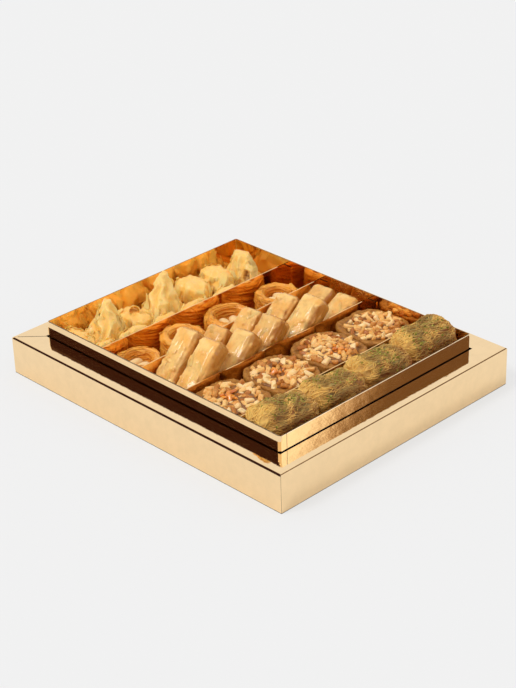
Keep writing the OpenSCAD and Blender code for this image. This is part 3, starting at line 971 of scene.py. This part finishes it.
def nest(i):
    """A coiled cup with shreds and flakes round it, and its cashews."""
    draw = random.Random(400 + i)
    node = f"nest_{i}"
    centre = middle(node)[0]

    def around(p, n=None):
        out = p - centre
        return Vector((-out.y, out.x, 0)).normalized()

    def coiled(p, n):
        out = p - centre
        reach, angle = math.hypot(out.x, out.y), math.atan2(out.y, out.x)
        strand = math.sin(reach / MM * 1.5 + out.z / MM * 2.2 + 2.5 * angle + 2 * noise.noise(p * 90))
        return 0.45 * strand + 0.9 * noise.noise(p * 160) - 0.3

    cup = knead(remesh(copy_of(node, f"nest_{i}_cup"), 0.9), coiled)
    shreds = shreds_on(cup, f"nest_{i}_shreds", 120, 30, 0.9, around, draw, 0.22, 0.5)
    flakes = flakes_on(cup, f"nest_{i}_flakes", 22, (12, 4.5), around, draw, 1.2, 0.1, 0.25,
                       lambda c, n: c.z > centre.z - 1 * MM)
    for part in (smooth(cup), shreds, flakes):
        coloured(part, nest_tones, NEST_GOLD)
    belongs(cup, node, "nest", node)
    belongs(shreds, node, "nest")
    belongs(flakes, node, "nest")
    nuts = remesh(copy_of(f"nest_nuts_{i}", f"nest_{i}_cashews"), 0.6)
    work(nuts, "SMOOTH", factor=0.5, iterations=3)
    knead(nuts, lambda p, n: 1.3 + 0.6 * noise.noise(p * 200) + 0.15 * noise.noise(p * 900))
    belongs(smooth(dress(nuts, CASHEW)), node, "cashew", f"nest_nuts_{i}")


for i in range(1, 5):
    nest(i)


def lower_nests():
    draw = random.Random(450)
    core = remesh(copy_of("nest_under_layer", "lower_nests_cups"), 1.2)
    knead(core, lambda p, n: 0.8 * noise.noise(p * 180) - 0.3)
    flakes = flakes_on(core, "lower_nests_flakes", 200, (14, 5),
                       lambda p, n: Vector((draw.gauss(0, 1), draw.gauss(0, 1), 0)), draw, 0.9, 0.1, 0.3,
                       lambda c, n: n.z > -0.3)
    for part in (smooth(core), flakes):
        coloured(part, nest_tones, NEST_GOLD)
    belongs(core, "tray", "nest", "nest_under_layer")
    belongs(flakes, "tray", "nest")


lower_nests()


# ---------------------------------------------------------------- back row: filo parcels

# The pale tone is a painted highlight on the crests of the folds; the deep tone is painted shade in their hollows and
# on faces that turn down.
PARCEL_CREST_HIGHLIGHT, PARCEL_GOLD, PARCEL_HOLLOW_SHADE = (1.0, 0.7, 0.24), (1.0, 0.64, 0.16), (0.98, 0.47, 0.07)
PARCEL_FILLING = (0.3, 0.09, 0.012)
FILLING_AT = Vector((0.0764, 0.0882, 0.0295))
TUBE_AT = Vector((-0.0336, 0.1008, 0.0345))
TO_VIEWER, ACROSS_VIEW = Vector((-0.608, -0.637, 0.474)), Vector((0.723, -0.69, 0))


def gathers(centre, high, i):
    """Sharp folds that run up to the middle of a gathered parcel: 1 on a crest, below 0 in a hollow."""
    def fold(p):
        q = (p - centre) / MM
        wobble = noise.noise(Vector((q.x * 0.09, q.y * 0.09, q.z * 0.07 + 7 * i)))
        ridge = 1 - 1.5 * abs(math.sin(math.atan2(q.y, q.x) * 2.5 + 2.6 * wobble + 1.3 * i))
        return ridge * between(0.5, 5, math.hypot(q.x, q.y)) * (0.35 + 0.65 * between(0.5, 7, (high.z - p.z) / MM))
    return fold


def parcel_tones(i, fold=lambda p: 0.2):
    """Painted highlight on the crests of the folds and painted shade in their hollows and on faces that turn down, over
    a random wobble; dimmer and warmer on faces that face up.
    """
    def tone(p, n):
        wobble = noise.noise(p * 110 + Vector((i, 0, 0)))
        colour = blend_tone(PARCEL_GOLD, PARCEL_CREST_HIGHLIGHT, between(-0.5, 0.5, fold(p) + 0.5 * wobble))
        # painted shade in the hollows of the folds and on faces that turn down
        hollow_shade = 0.22 * between(-0.1, -0.5, fold(p)) + 0.35 * between(0.0, -0.7, n.z)
        colour = blend_tone(colour, PARCEL_HOLLOW_SHADE, min(1, hollow_shade))
        dimmer = blend_tone((1, 1, 1), (0.96, 0.82, 0.66), between(0.45, 0.95, n.z))
        return tuple(c * d for c, d in zip(colour, dimmer))
    return tone


def opening(p):
    """Distance from the slit in parcel 5 where its filling shows: 1 on its lip."""
    out = (p - FILLING_AT) / MM
    toward, beside = out.dot(TO_VIEWER), out.dot(ACROSS_VIEW)
    above = (out - TO_VIEWER * toward - ACROSS_VIEW * beside).length
    ragged = 1 + 0.5 * noise.noise(p * 330)
    return math.hypot(math.hypot(beside / 3.4, above / 6.2) * ragged, max(0, abs(toward) - 6) / 3)


def leaves(reach):
    """Height of the leaves of filo that stand round the slit."""
    return -3 * between(1, 0.5, reach) + 1.0 * between(0.8, 1, reach) * between(2.2, 1.2, reach) \
        + 0.45 * math.sin(9 * reach) * between(2.4, 1.4, reach)


def filo_tube():
    """A small rolled leaf with an open end that faces up and to the front."""
    bpy.ops.mesh.primitive_cylinder_add(vertices=24, radius=4.4 * MM, depth=9 * MM, end_fill_type="NOTHING",
                                        location=TUBE_AT)
    tube = newest("tube")
    tube.rotation_mode = "QUATERNION"
    tube.rotation_quaternion = Vector((-0.45, -0.62, 0.64)).to_track_quat("Z", "Y")
    settle(tube)
    work(tube, "SOLIDIFY", thickness=1.1 * MM, offset=0)
    work(tube, "SUBSURF", levels=1, render_levels=1)
    return smooth(knead(tube, lambda p, n: 0.5 * noise.noise(p * 260)))


def filo_parcel(i):
    """A gathered parcel with sharp folds, loose leaves and crisps; parcel 5 is open and parcel 12 has a tube."""
    draw = random.Random(500 + i)
    node = f"parcel_{i}"
    body = node if i <= 5 else "tray"
    centre, low, high = middle(node)
    tall = high.z - low.z > 22 * MM
    fold = gathers(centre, high, i)
    tone = parcel_tones(i, fold)

    def folded(p, n):
        q = (p - centre) / MM
        crease = 1 - 2.4 * abs(noise.noise(Vector((q.x * 0.2, q.y * 0.2, q.z * 0.1 + 3 * i))))
        return (1.9 if tall else 1.6) * fold(p) + 0.3 * crease - 0.6

    def filled(p, n):
        inside = between(0.9, 0.6, opening(p)) * (0.75 + 0.7 * noise.noise(p * 600))
        return blend_tone(tone(p, n), PARCEL_FILLING, inside)

    def upward(p, n):
        out = p - centre
        return OUT * draw.uniform(0.5, 1.2) + Vector((out.x, out.y, 0)).normalized() * draw.gauss(-0.3, 0.5)

    def free(facing, below):
        """Spots that face up enough, lie this far below the tip and keep clear of the slit."""
        return lambda c, n: n.z > facing and c.z < high.z - below * MM and (i != 5 or opening(c) > 1.7)

    parcel = knead(remesh(copy_of(node, f"parcel_{i}_filo"), 0.8), folded)
    work(parcel, "SMOOTH", factor=0.5, iterations=2)
    if i == 5:
        knead(parcel, lambda p, n: leaves(opening(p)))
    smooth(coloured(parcel, filled if i == 5 else tone, PARCEL), 60)
    count, size, below = (12, (13, 9), 6) if tall else (14, (9, 7), 2.5)
    flakes = flakes_on(parcel, f"parcel_{i}_flakes", count, size, upward, draw, 2.6, 0.12, 0.3, free(-0.25, below))
    crumbly = between(-52, -68, centre.x / MM)
    crisps = flakes_on(parcel, f"parcel_{i}_crisps", int(12 + 70 * crumbly), (4.5, 3.5), upward, draw, 1.8, 0.1, 0.3,
                       free(-0.1, 12 if crumbly and tall else 1.5))
    flakes = joined(f"parcel_{i}_flakes", crisps, flakes)
    if i == 12:
        flakes = joined(f"parcel_{i}_flakes", filo_tube(), flakes)
    coloured(flakes, parcel_tones(i + 30), PARCEL)
    belongs(keep_low(parcel), body, "parcel", node)
    belongs(keep_low(flakes), body, "parcel")


for i in range(1, 13):
    filo_parcel(i)


def lower_parcels():
    draw = random.Random(550)
    core = remesh(copy_of("parcel_under_layer", "lower_parcels_filo"), 1.2)
    knead(core, lambda p, n: 1.2 * (1 - 2.4 * abs(noise.noise(p * 130))) - 0.9)
    tone = parcel_tones(20)
    smooth(coloured(core, tone, PARCEL), 60)
    flakes = flakes_on(core, "lower_parcels_flakes", 260, (10, 6),
                       lambda p, n: Vector((draw.gauss(0, 1), draw.gauss(0, 1), 0.4)), draw, 1.1, 0.1, 0.3,
                       lambda c, n: n.z > -0.3)
    coloured(flakes, tone, PARCEL)
    belongs(core, "tray", "parcel", "parcel_under_layer")
    belongs(flakes, "tray", "parcel")


lower_parcels()


# ---------------------------------------------------------------- room, light and camera

WHITE = (1, 1, 1)
SEEN_WHITE = 0.871          # what the camera sees round the box
DIFFUSE_AIR, MIRRORED_AIR = 0.87, 0.9
HALFWAY = (0.42, 0.55, 0.66)
SCREENS = (((104, 116, 144, 156), (0.045, 0.018, 0.016)), ((-45.6, -41.7, -8, 6), (0.19, 0.125, 0.085)),
           ((-80, -70, -44.6, -42.6), (1.4, 1.7, 2.3)))


def mixed(tree, share, first, second):
    return node_of(tree, "ShaderNodeMixShader", {0: share, 1: first, 2: second}).outputs["Shader"]


def paper_floor():
    """A white table. The camera sees most of it at an even tone, so that only a faint shadow stays."""
    bpy.ops.mesh.primitive_plane_add(size=24)
    floor = newest("white_table")
    finish = bpy.data.materials.new("white table")
    finish.use_nodes = True
    tree = finish.node_tree
    skin = feed(tree, tree.nodes["Principled BSDF"], {"Base Color": (0.79, 0.79, 0.79, 1), "Roughness": 0.9,
                                                      "Specular IOR Level": 0})
    path = node_of(tree, "ShaderNodeLightPath").outputs
    in_gold = reckon(tree, "MULTIPLY", path["Is Glossy Ray"], 0.35)
    share = reckon(tree, "MULTIPLY_ADD", path["Is Camera Ray"], 0.7, in_gold)
    even = node_of(tree, "ShaderNodeEmission", {"Color": (SEEN_WHITE, SEEN_WHITE, SEEN_WHITE, 1)})
    surface = mixed(tree, share, skin.outputs["BSDF"], even.outputs["Emission"])
    feed(tree, tree.nodes["Material Output"], {"Surface": surface})
    dress(floor, finish)


def studio_air():
    """White air in which two dark screens and a bright lamp stand, seen only in the gold."""
    air = bpy.data.worlds.new("studio air")
    bpy.context.scene.world = air
    air.use_nodes = True
    tree = air.node_tree
    tree.nodes.clear()
    path = node_of(tree, "ShaderNodeLightPath").outputs
    place = node_of(tree, "ShaderNodeTexCoord").outputs["Generated"]
    split = node_of(tree, "ShaderNodeSeparateXYZ", {"Vector": place}).outputs
    degrees = reckon(tree, "MULTIPLY", reckon(tree, "ARCTAN2", split["Y"], split["X"]), 57.29578)

    def window(source, low, low_full, high_full, high):
        """1 between the two full limits, falling to 0 at the outer ones."""
        edges = [node_of(tree, "ShaderNodeMapRange", {"Value": source, "From Min": start, "From Max": full},
                         interpolation_type="SMOOTHSTEP").outputs["Result"]
                 for start, full in ((low, low_full), (high, high_full))]
        return reckon(tree, "MULTIPLY", *edges)

    def lit_air(colour, strength):
        return node_of(tree, "ShaderNodeBackground", {"Color": colour, "Strength": strength}).outputs["Background"]

    low_sky = window(split["Z"], -0.2, -0.1, 0.74, 0.82)
    tone = None
    for limits, colour in SCREENS:
        whole = reckon(tree, "MULTIPLY", window(degrees, *limits), low_sky)
        step = tuple(1 + (c - 1) * s for c, s in zip(colour, HALFWAY))
        shade = ramp(tree, ((0.0, WHITE), (0.5, step), (1.0, colour)), whole)
        tone = multiplied(tree, tone, shade) if tone else shade
    by_gloss = mixed(tree, path["Is Glossy Ray"], lit_air((*WHITE, 1), DIFFUSE_AIR), lit_air(tone, MIRRORED_AIR))
    surface = mixed(tree, path["Is Camera Ray"], by_gloss, lit_air((*WHITE, 1), SEEN_WHITE))
    node_of(tree, "ShaderNodeOutputWorld", {"Surface": surface})


def window_lamp(azimuth, height, strength, width):
    """Soft daylight from one side."""
    a, e = math.radians(azimuth), math.radians(height)
    way = Vector((math.cos(a) * math.cos(e), math.sin(a) * math.cos(e), math.sin(e)))
    light = bpy.data.lights.new("window_lamp", "SUN")
    light.energy = strength
    light.angle = math.radians(width)
    holder = placed("window_lamp", light)
    holder.rotation_mode = "QUATERNION"
    holder.rotation_quaternion = (-way).to_track_quat("-Z", "Y")


EYE, LOOK = (-0.8275, -0.8683, 0.6747), Vector((0.60828, 0.6368, -0.47379))
LENS, LEAN = 94.24, -1.9


def camera():
    lens = bpy.data.cameras.new("camera")
    lens.sensor_fit = "AUTO"
    lens.sensor_width = 36
    lens.lens = LENS
    lens.clip_start, lens.clip_end = 0.01, 100
    holder = placed("camera", lens)
    holder.location = EYE
    holder.rotation_mode = "QUATERNION"
    holder.rotation_quaternion = LOOK.to_track_quat("-Z", "Y") @ Quaternion((0, 0, 1), math.radians(LEAN))
    bpy.context.scene.camera = holder


paper_floor()
studio_air()
window_lamp(azimuth=158, height=52, strength=1.1, width=16)
camera()
bpy.context.scene.view_settings.view_transform = "Standard"
